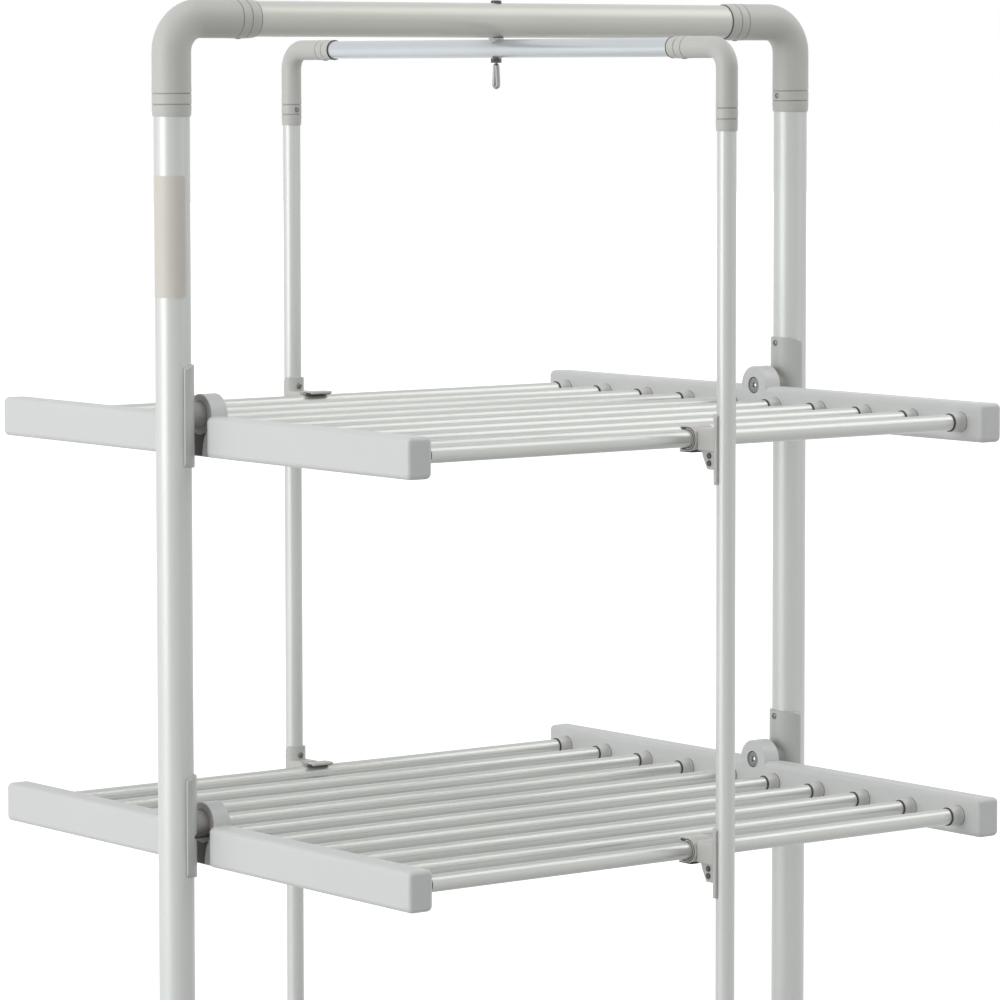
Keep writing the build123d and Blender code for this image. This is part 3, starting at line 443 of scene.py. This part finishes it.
class Shape:
    """Points in millimetres and faces, to which forms are added."""

    def __init__(self):
        self.points = []
        self.faces = []

    def add(self, points, faces, place=Matrix()):
        start = len(self.points)
        self.points += [place @ Vector(point) for point in points]
        self.faces += [[start + index for index in face] for face in faces]

    def skin(self, loops, closed=False, place=Matrix()):
        """Skin over loops of equal length; open ends get a flat cap."""
        steps = len(loops[0])
        faces = []
        pairs = len(loops) if closed else len(loops) - 1
        for number in range(pairs):
            low, high = number * steps, (number + 1) % len(loops) * steps
            for step in range(steps):
                after = (step + 1) % steps
                faces.append([low + step, low + after, high + after, high + step])
        if not closed:
            faces.append(list(range(steps))[::-1])
            faces.append([(len(loops) - 1) * steps + step for step in range(steps)])
        self.add([point for loop in loops for point in loop], faces, place)

    def lathe(self, profile, place=Matrix(), closed=False, steps=ROUND_STEPS):
        """Profile of (height, radius) pairs turned about Z."""
        self.skin([ring(radius, height, steps) for height, radius in profile], closed, place)

    def prism(self, outline, low, high, place=Matrix()):
        """Outline in XY drawn up from low to high."""
        self.skin([[(x, y, z) for x, y in outline] for z in (low, high)], False, place)

    def piece(self, name, finish, body, nodes=(), slot=None, bevel=0.0):
        """The object that shows this shape, riding on a body."""
        mesh = bpy.data.meshes.new(name)
        mesh.from_pydata([point * MM for point in self.points], [], self.faces)
        mesh.validate()
        mesh.shade_smooth()
        mesh.set_sharp_from_angle(angle=SMOOTH_ANGLE)
        mesh.materials.append(FINISHES[finish])
        made = bpy.data.objects.new(name, mesh)
        bpy.context.scene.collection.objects.link(made)
        if bevel:
            rounding = made.modifiers.new("edges", "BEVEL")
            rounding.width = bevel * MM
            rounding.segments = BEVEL_SEGMENTS
            rounding.limit_method = "ANGLE"
            rounding.angle_limit = SMOOTH_ANGLE
            rounding.harden_normals = True
        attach(made, body)
        if nodes:
            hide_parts(*nodes)
        return made


def towards(origin, way, side=None):
    """Matrix that puts local Z along way and local X near side, at origin."""
    z = Vector(way).normalized()
    x = Vector(side) if side else (X if abs(z.x) < 0.9 else Y)
    x = (x - z * x.dot(z)).normalized()
    turn = Matrix((x, z.cross(x), z)).transposed().to_4x4()
    return Matrix.Translation(Vector(origin)) @ turn


def arc_points(radius, start, end, steps, centre=(0, 0)):
    angles = [start + (end - start) * step / steps for step in range(steps + 1)]
    return [(centre[0] + radius * cos(a), centre[1] + radius * sin(a)) for a in angles]


# Elbows

def leg_profile(sizes):
    """(distance from the leg's end, radius) from the spigot's end up to the plain leg."""
    radius = sizes["elbow_r"]
    rise = radius - sizes["tube_r"]
    profile = [(-sizes["spigot"], sizes["spigot_r"]), (0.0, sizes["spigot_r"])]
    profile += [(at, radius - rise * share) for at, share in LEG_RIM]
    for groove in GROOVES:
        profile += [(groove + step, radius - depth) for step, depth in GROOVE_SHAPE]
    return profile + [(at, radius - drop) for at, drop in LEG_FADE]


def elbow_loops(sizes):
    """Loops of an elbow with a leg along +X and one along -Z, round the outside and back inside."""
    leg, bend = sizes["leg"], sizes["bend"]
    ends = leg_profile(sizes)
    stations = [(Vector((0, 0, -leg + d)), Z, r) for d, r in ends]
    for step in range(ELBOW_ARC_STEPS + 1):
        a = pi / 2 * step / ELBOW_ARC_STEPS
        centre = Vector((bend - bend * cos(a), 0, -bend + bend * sin(a)))
        stations.append((centre, Vector((sin(a), 0, cos(a))), sizes["elbow_r"] - PLAIN_DROP))
    stations += [(Vector((leg - d, 0, 0)), X, r) for d, r in reversed(ends)]
    inside = (stations[0], *stations[len(ends):-len(ends)], stations[-1])
    back = [(at, way, sizes["bore_r"]) for at, way, _ in inside]
    loops = []
    for at, way, radius in stations + back[::-1]:
        side = Y.cross(way)
        loops.append([at + (side * cos(a) + Y * sin(a)) * radius for a in turns(FINE_STEPS)])
    return loops


def add_elbow(shape, sizes, place):
    shape.skin(elbow_loops(sizes), closed=True, place=place)


def add_groove_shades(shape, sizes, place):
    """Rings of painted shade, darker than the elbow, on the floors of an elbow's four grooves."""
    leg, floor = sizes["leg"], sizes["elbow_r"] - GROOVE_DEPTH
    band = [(step, floor + rise) for step, rise in GROOVE_SHADE]
    for at in GROOVES:
        for centre, way in (((0, 0, at - leg), Z), ((leg - at, 0, 0), X)):
            shape.lathe(band, place @ towards(centre, way), closed=True, steps=FINE_STEPS)


def outer_place(side, top):
    height = TOP_BAR_Z if top else BASE_BAR_Z
    turn = Matrix.Rotation(0 if side < 0 else pi, 4, "Z")
    flip = Matrix() if top else Matrix.Rotation(pi, 4, "X")
    return Matrix.Translation((side * POST_X, 0, height)) @ turn @ flip


def inner_place(side):
    turn = Matrix.Rotation(-side * pi / 2, 4, "Z")
    return Matrix.Translation((0, side * POST_Y, INNER_TOP_Z)) @ turn


def make_elbows():
    groove_shades = Shape()
    for side, word in zip(SIDES, ("left", "right")):
        shape = Shape()
        add_elbow(shape, OUTER, outer_place(side, True))
        add_groove_shades(groove_shades, OUTER, outer_place(side, True))
        shape.piece(f"elbow_{word}", "elbow", "outer_frame", [f"outer_elbow_{word}"])
    groove_shades.piece("outer_groove_shades", "seam", "outer_frame", slot="elbow")
    shape, groove_shades = Shape(), Shape()
    for side in SIDES:
        add_elbow(shape, INNER, inner_place(side))
        add_groove_shades(groove_shades, INNER, inner_place(side))
    shape.piece("elbows_of_inner_frame", "elbow", "inner_frame", ["inner_elbows"])
    groove_shades.piece("inner_groove_shades", "seam", "inner_frame", slot="elbow")


def make_gap_shades():
    """Thin dark rings of painted shade where the bars enter their elbows, for the shaded gap at
    each elbow's end.
    """
    shape = Shape()
    for side in SIDES:
        place = towards((side * (POST_X - OUTER["leg"]), 0, TOP_BAR_Z), (-side, 0, 0))
        shape.lathe(OUTER_GAP_SHADE, place, True, FINE_STEPS)
    shape.piece("outer_bar_gap_shades", "rubber", "outer_frame")
    shape = Shape()
    for side in SIDES:
        place = towards((0, side * (POST_Y - INNER["leg"]), INNER_TOP_Z), (0, -side, 0))
        shape.lathe(INNER_GAP_SHADE, place, True, INNER_GAP_SHADE_STEPS)
    shape.piece("inner_bar_gap_shades", "rubber", "inner_frame")


# Screws

def add_screw(shape, seat, out):
    """Pan head screw with a cross recess; out points away from the surface."""
    steps = SCREW_STEPS
    points = [point for h, r in SCREW_PROFILE for point in ring(r, h, steps, SCREW_START)]
    last = len(points) - steps
    faces = [list(range(steps))[::-1]]
    for low in range(0, last, steps):
        high = low + steps
        faces += [[low + s, low + (s + 1) % steps, high + (s + 1) % steps, high + s]
                  for s in range(steps)]
    cross = []
    for c, s in ((1, 0), (0, 1), (-1, 0), (0, -1)):
        quarter = ((CROSS_REACH, -CROSS_HALF_W), (CROSS_REACH, CROSS_HALF_W),
                   (CROSS_HALF_W, CROSS_HALF_W))
        cross += [(x * c - y * s, x * s + y * c) for x, y in quarter]
    corners = len(cross)
    mouth, floor = len(points), len(points) + corners
    points += [(x, y, SCREW_H) for x, y in cross]
    points += [(x * CROSS_TAPER, y * CROSS_TAPER, SCREW_H - CROSS_DEPTH) for x, y in cross]
    share = steps // corners
    for number in range(corners):
        after = (number + 1) % corners
        arc = [last + (number * share + step) % steps for step in range(share + 1)]
        faces.append(arc + [mouth + after, mouth + number])
        faces.append([mouth + number, mouth + after, floor + after, floor + number])
    faces.append([floor + number for number in range(corners)])
    shape.add(points, faces, towards(seat, out))


def add_elbow_screws(shape, sizes, place):
    """The two screws on the inner side of an elbow's bend."""
    at = sizes["leg"] - SCREW_BAND
    sunk = sizes["elbow_r"] - SCREW_H / 2
    turn = place.to_3x3()
    add_screw(shape, place @ Vector((at, 0, -sunk)), turn @ -Z)
    add_screw(shape, place @ Vector((sunk, 0, -at)), turn @ X)


def make_screws():
    """Screws of the straps, elbows and tees of the two frames."""
    outer, straps = Shape(), Shape()
    for side in SIDES:
        face = POST_X - OUTER["tube_r"] - STRAP_WALL
        for height in TIER_Z:
            for up in SIDES:
                at = height + up * (HINGE_STRAP_H / 2 - HINGE_SCREW_INSET)
                add_screw(straps, (side * face, 0, at), (-side, 0, 0))
        for top in (True, False):
            add_elbow_screws(outer, OUTER, outer_place(side, top))
    outer.piece("outer_elbow_screws", "steel", "outer_frame", ["outer_frame_screws"])
    straps.piece("hinge_strap_screws", "steel", "outer_frame", ["bracket_screws"])
    inner, clips = Shape(), Shape()
    for side in SIDES:
        face = POST_Y - INNER["tube_r"] - STRAP_WALL
        add_elbow_screws(inner, INNER, inner_place(side))
        tee = (0, side * (POST_Y - TEE_FACE), INNER_BASE_Z + TEE_SCREW_RISE)
        add_screw(inner, tee, (0, -side, 0))
        for height in TIER_Z:
            for drop in CLIP_SCREW_DROPS:
                add_screw(clips, (0, side * face, height - drop), (0, -side, 0))
    inner.piece("inner_frame_screws_crossed", "steel", "inner_frame", ["inner_frame_screws"])
    clips.piece("clip_strap_screws", "steel", "inner_frame", ["clip_screws"])


# Shelves

def rung_rows():
    """Y and radius of each rung."""
    return [(k * RUNG_PITCH - END_RUNG_Y, END_RUNG_R if k in (0, RUNGS - 1) else MID_RUNG_R)
            for k in range(RUNGS)]


def make_collars(number, height):
    """Tapered sleeves with rounded rims, the dark gasket at their rung ends, and a thin dark ring
    of painted contact shadow where they meet the rail.
    """
    sleeves, rings = Shape(), Shape()
    for side in SIDES:
        for y, radius in rung_rows():
            place = towards((side * RAIL_INNER_X, y, height - RUNG_Z_DROP), (-side, 0, 0))
            big, small, bore = radius + 1.8, radius + 1.25, radius + FIT
            sleeve = [(0.02, bore), (0.02, big), (2.0, big), (2.4, big - 0.35), (2.9, big - 0.2),
                      (12.2, small), (12.8, small - 0.18), (13.0, small - 0.5), (13.0, bore)]
            gasket = [(13.02, bore), (13.02, radius + 0.85), (13.4, radius + 1.0),
                      (14.1, radius + 1.0), (14.45, radius + 0.8), (14.5, bore)]
            # thin dark ring of painted contact shadow where the sleeve meets the rail
            shade_band = [(0.0, big - 0.2), (0.0, big + 0.12), (0.35, big + 0.12), (0.35, big - 0.2)]
            sleeves.lathe(sleeve, place, closed=True)
            rings.lathe(gasket, place, closed=True)
            rings.lathe(shade_band, place, closed=True)
    sleeves.piece(f"collars_{number}", "collar", f"shelf_{number}", [f"rung_collars_{number}"])
    rings.piece(f"collar_gaskets_and_shade_{number}", "rubber", f"shelf_{number}", [f"rung_gaskets_{number}"])


# Straps, clips and hinges

def spread(half, count, crowded=False):
    """Even steps from -half to half, or steps that crowd towards both ends."""
    shares = [2 * number / count - 1 for number in range(count + 1)]
    return [half * (sin(pi / 2 * share) if crowded else share) for share in shares]


def wrap(shape, inner_r, outer_r, angles, half_height, place):
    """Curved plate round the +X side of Z; half_height(radius, angle) gives its outline."""
    corners = ((outer_r, -1), (outer_r, 1), (inner_r, 1), (inner_r, -1))
    loops = [[(radius * cos(angle), radius * sin(angle), up * half_height(radius, angle))
              for radius, up in corners] for angle in angles]
    shape.skin(loops[::-1], place=place)


def rounded_half(half, reach, corner, at):
    """Half height of a rounded rectangle at a distance from its middle line."""
    past = min(max(abs(at) - (reach - corner), 0.0), corner)
    return half - corner + sqrt(corner * corner - past * past)


def add_strap(shape, tube_r, height, corner, place):
    """Half tube that hugs a post, its outline rounded as seen from the side."""
    outer = tube_r + STRAP_WALL

    def half_height(radius, angle):
        return rounded_half(height / 2, outer, corner, radius * sin(angle))

    wrap(shape, tube_r + FIT, outer, spread(pi / 2, STRAP_STEPS), half_height, place)


def make_hinge_straps():
    shape = Shape()
    for side in SIDES:
        turn = Matrix.Rotation(pi if side > 0 else 0, 4, "Z")
        for height in TIER_Z:
            place = Matrix.Translation((side * POST_X, 0, height)) @ turn
            add_strap(shape, OUTER["tube_r"], HINGE_STRAP_H, HINGE_STRAP_CORNER, place)
    shape.piece("hinge_straps", "bracket", "outer_frame", ["hinge_brackets"], bevel=0.5)


def clip_spots():
    """Side and hinge height of each clip."""
    return [(side, height) for side in SIDES for height in TIER_Z]


def facing_in(side, height):
    """Place at a front or rear post whose local +X points to the middle of the airer."""
    turn = Matrix.Rotation(-side * pi / 2, 4, "Z")
    return Matrix.Translation((0, side * POST_Y, height)) @ turn


def make_clip_straps():
    shape = Shape()
    for side, height in clip_spots():
        place = facing_in(side, height + CLIP_STRAP_TOP - CLIP_STRAP_H / 2)
        add_strap(shape, INNER["tube_r"], CLIP_STRAP_H, CLIP_STRAP_CORNER, place)
    shape.piece("clip_straps", "bracket", "inner_frame", ["clip_brackets"], bevel=0.4)


def add_block(shape, place):
    """Block between strap and jaw; its back follows the strap."""
    loops = []
    back_r = INNER["tube_r"] + STRAP_WALL + FIT
    for across in spread(BLOCK_HALF * BLOCK_EDGE, BLOCK_STEPS, True):
        half = rounded_half(BLOCK_HALF, BLOCK_HALF, BLOCK_CORNER, across)
        back = sqrt(back_r * back_r - across * across)
        corners = ((back, -half), (BLOCK_FACE, -half), (BLOCK_FACE, half), (back, half))
        loops.append([(x, -across, z) for x, z in corners])
    shape.skin(loops, place=place)


def add_gusset(shape, place):
    """Sloping web under the block."""
    turn = Matrix.Translation((0, 0, -BLOCK_HALF)) @ Matrix.Rotation(pi / 2, 4, "X")
    shape.prism(GUSSET, -GUSSET_HALF_W, GUSSET_HALF_W, place @ turn)


def make_clip_blocks():
    shape = Shape()
    for side, height in clip_spots():
        place = facing_in(side, height - RUNG_Z_DROP)
        add_block(shape, place)
        add_gusset(shape, place)
    shape.piece("clip_blocks_soft_edged", "clip", "inner_frame", ["clip_blocks"], bevel=0.5)


def u_outline(inner, outer, reach):
    """U seen along the rung, its round end towards +X and its lips with round ends at -X."""
    middle, half = (inner + outer) / 2, (outer - inner) / 2
    points = arc_points(outer, -pi / 2, pi / 2, 40)
    points += arc_points(half, pi / 2, 3 * pi / 2, 8, (-reach, middle))
    points += arc_points(inner, pi / 2, -pi / 2, 36)
    return points + arc_points(half, pi / 2, 3 * pi / 2, 8, (-reach, -middle))


def jaw_place(side, height):
    """Place at an end rung: local X to the block, local Z along the rung."""
    origin = (0, side * END_RUNG_Y, height - RUNG_Z_DROP)
    return towards(origin, (-side, 0, 0), (0, side, 0))


def make_jaws():
    """Clip jaws with beaded lips, their liners, the dark rubber pads round the rungs, which also
    stand as painted shade in the gap and groove at each jaw's face, and a dark strip of painted
    shade under each lower lip.
    """
    inner, _, reach = JAW_SHELL
    for number, height in enumerate(TIER_Z, 1):
        jaw, liner, pads_and_shade = Shape(), Shape(), Shape()
        for side in SIDES:
            place = jaw_place(side, height)
            jaw.prism(u_outline(*JAW_SHELL), -JAW_HALF_W, JAW_HALF_W, place)
            for lip in SIDES:
                centre = (-reach, lip * (inner + LIP_BEAD_OUT))
                bead = arc_points(LIP_BEAD_R, 0, 2 * pi, 20, centre)[:-1]
                jaw.prism(bead, -JAW_HALF_W + LIP_BEAD_INSET, JAW_HALF_W - LIP_BEAD_INSET, place)
            half = JAW_HALF_W + LINER_PROUD
            liner.prism(u_outline(*JAW_LINER), -half, half, place)
            half = JAW_HALF_W + PAD_PROUD
            pads_and_shade.prism(u_outline(*JAW_PAD), -half, half, place)
            # dark strip under the lower lip as painted shade
            down = -(place.to_3x3().transposed() @ Z).y
            shade_band = [(x, y * down) for x, y in JAW_LIP_SHADE][::-1 if down > 0 else 1]
            pads_and_shade.prism(shade_band, -JAW_HALF_W, JAW_HALF_W, place)
        jaw.piece(f"jaws_{number}", "clip", "inner_frame", [f"clip_jaws_{number}"], bevel=0.3)
        liner.piece(f"jaw_liners_{number}", "collar", "inner_frame", bevel=0.2)
        pads_and_shade.piece(f"jaw_pads_and_shade_{number}", "rubber", "inner_frame")


def make_hinge_details():
    """Grey washer on the floor of each recess, darkened as painted shade of the boss face, a dark
    sheet of painted shade beside it, and a bright steel dome in each bolt as a painted glint.
    """
    for number, height in enumerate(TIER_Z, 1):
        dark, washers = Shape(), Shape()
        for side in SIDES:
            place = towards((side * RECESS_X, 0, height), (side, 0, 0), (0, 1, 0))
            # washer darker than the rail, partly as painted shade
            washers.lathe(RECESS_WASHER, place, True, FINE_STEPS)
            up, back = (place.to_3x3() @ Y).z, (place.to_3x3() @ X).y
            # dark sheet of painted shade on the recess floor, next to the strap
            slot = [(y * back, z * up) for y, z in RECESS_SHADE][::1 if up * back > 0 else -1]
            dark.prism(slot, *RECESS_SHADE_H, place)
        dark.piece(f"recess_shades_{number}", "rubber", f"shelf_{number}")
        washers.piece(f"recess_washers_and_shade_{number}", "bush", f"shelf_{number}", slot="collar")
    # bright steel domes in the bolts: painted glints
    bright = Shape()
    for side in SIDES:
        for height in TIER_Z:
            place = towards((side * (RAIL_INNER_X + BOLT_HEAD_IN), 0, height), (-side, 0, 0))
            bright.lathe(BOLT_GLINT_DOME, place, steps=SMALL_STEPS)
    bright.piece("bolt_painted_glints", "bright", "outer_frame", slot="steel")


# Loop and sticker

def make_loop():
    """Drop shaped ring of thick wire round a narrow slit, on a short stem."""
    low, high = (Vector(corner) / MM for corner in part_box("hanging_loop"))
    lower = low.z + LOOP_BOTTOM_R + LOOP_WIRE_R
    upper = low.z + LOOP_LEN - LOOP_TOP_R - LOOP_WIRE_R
    path = arc_points(LOOP_BOTTOM_R, pi, 2 * pi, 16, (0, lower))
    path += arc_points(LOOP_TOP_R, 0, pi, 12, (0, upper))
    loops = []
    for number, (y, z) in enumerate(path):
        before, after = path[number - 1], path[(number + 1) % len(path)]
        way = Vector((0, after[0] - before[0], after[1] - before[1])).normalized()
        side = way.cross(X)
        loops.append([Vector((0, y, z))
                      + (X * cos(a) * LOOP_WIRE_WIDTH + side * sin(a)) * LOOP_WIRE_R
                      for a in turns(LOOP_WIRE_STEPS)])
    shape = Shape()
    shape.skin(loops, closed=True)
    shape.lathe([(upper, LOOP_STEM_R), (high.z, LOOP_STEM_R)], steps=SMALL_STEPS)
    shape.piece("drop_loop", "cast", "loop", ["hanging_loop"], slot="steel")


def make_label():
    """Blank sticker round the front left side of the left post."""
    shape = Shape()
    radius = OUTER["tube_r"]
    place = Matrix.Translation((-POST_X, 0, LABEL_Z)) @ Matrix.Rotation(LABEL_TURN, 4, "Z")

    def half_height(_, angle):
        return rounded_half(LABEL_HALF_H, radius * LABEL_HALF_ARC, LABEL_CORNER, radius * angle)

    under, over = (radius + out for out in LABEL_FILM)
    angles = spread(LABEL_HALF_ARC, LABEL_STEPS, True)
    wrap(shape, under, over, angles, half_height, place)
    shape.piece("blank_sticker", "label", "outer_frame", slot="tube")


# Stage, light and camera

def make_stage():
    """Pale floor that, where it is seen, brightens to white away from the airer."""
    half = FLOOR_HALF
    corners = [(-half, -half, 0), (half, -half, 0), (half, half, 0), (-half, half, 0)]
    mesh = bpy.data.meshes.new("floor")
    mesh.from_pydata(corners, [], [(0, 1, 2, 3)])
    floor = bpy.data.objects.new("floor", mesh)
    bpy.context.scene.collection.objects.link(floor)
    paint = Paint("pale_floor", Base_Color=FLOOR_GREY, Roughness=0.9)
    where = paint.node("ShaderNodeTexCoord", output="Object")
    far = paint.node("ShaderNodeVectorMath", {"operation": "LENGTH"}, {0: where}, "Value")
    glow = paint.ramp(far * GLOW_SPREAD, (0.0, FLOOR_GREY), (0.3, WHITE))
    paint.drive("Emission Color", paint.mix(paint.sight(), BLACK, glow))
    paint.shader.inputs["Emission Strength"].default_value = 1.0
    mesh.materials.append(paint.material)


def make_world():
    """White to the camera and in reflections, a soft even light otherwise."""
    sky = Sky("studio")
    bpy.context.scene.world = sky.world
    sky.shader.inputs["Color"].default_value = WHITE
    seen = sky.sight()
    sky.drive("Strength", seen.maths("MAXIMUM", seen, WORLD_LEVEL))


def make_lamp(name, at, target, power, width, height):
    data = bpy.data.lights.new(name, "AREA")
    data.energy = power
    data.shape = "RECTANGLE"
    data.size = width
    data.size_y = height
    lamp = bpy.data.objects.new(name, data)
    lamp.location = at
    lamp.rotation_euler = (Vector(target) - Vector(at)).to_track_quat("-Z", "Y").to_euler()
    bpy.context.scene.collection.objects.link(lamp)


def make_camera():
    data = bpy.data.cameras.new("camera")
    data.sensor_width = CAMERA_SENSOR
    data.lens = CAMERA_LENS
    data.shift_y = CAMERA_SHIFT
    data.clip_end = CAMERA_CLIP_END
    camera = bpy.data.objects.new("camera", data)
    camera.location = CAMERA_AT
    camera.rotation_euler = [radians(angle) for angle in CAMERA_TURN]
    bpy.context.scene.collection.objects.link(camera)
    bpy.context.scene.camera = camera


def main():
    dress_nodes()
    make_elbows()
    make_screws()
    make_hinge_straps()
    make_clip_straps()
    make_clip_blocks()
    make_jaws()
    make_loop()
    make_hinge_details()
    make_gap_shades()
    make_label()
    for number, height in enumerate(TIER_Z, 1):
        make_collars(number, height)
    make_stage()
    make_world()
    for name, lamp in LAMPS.items():
        make_lamp(name, *lamp)
    make_camera()
    bpy.context.scene.view_settings.view_transform = "Standard"


main()
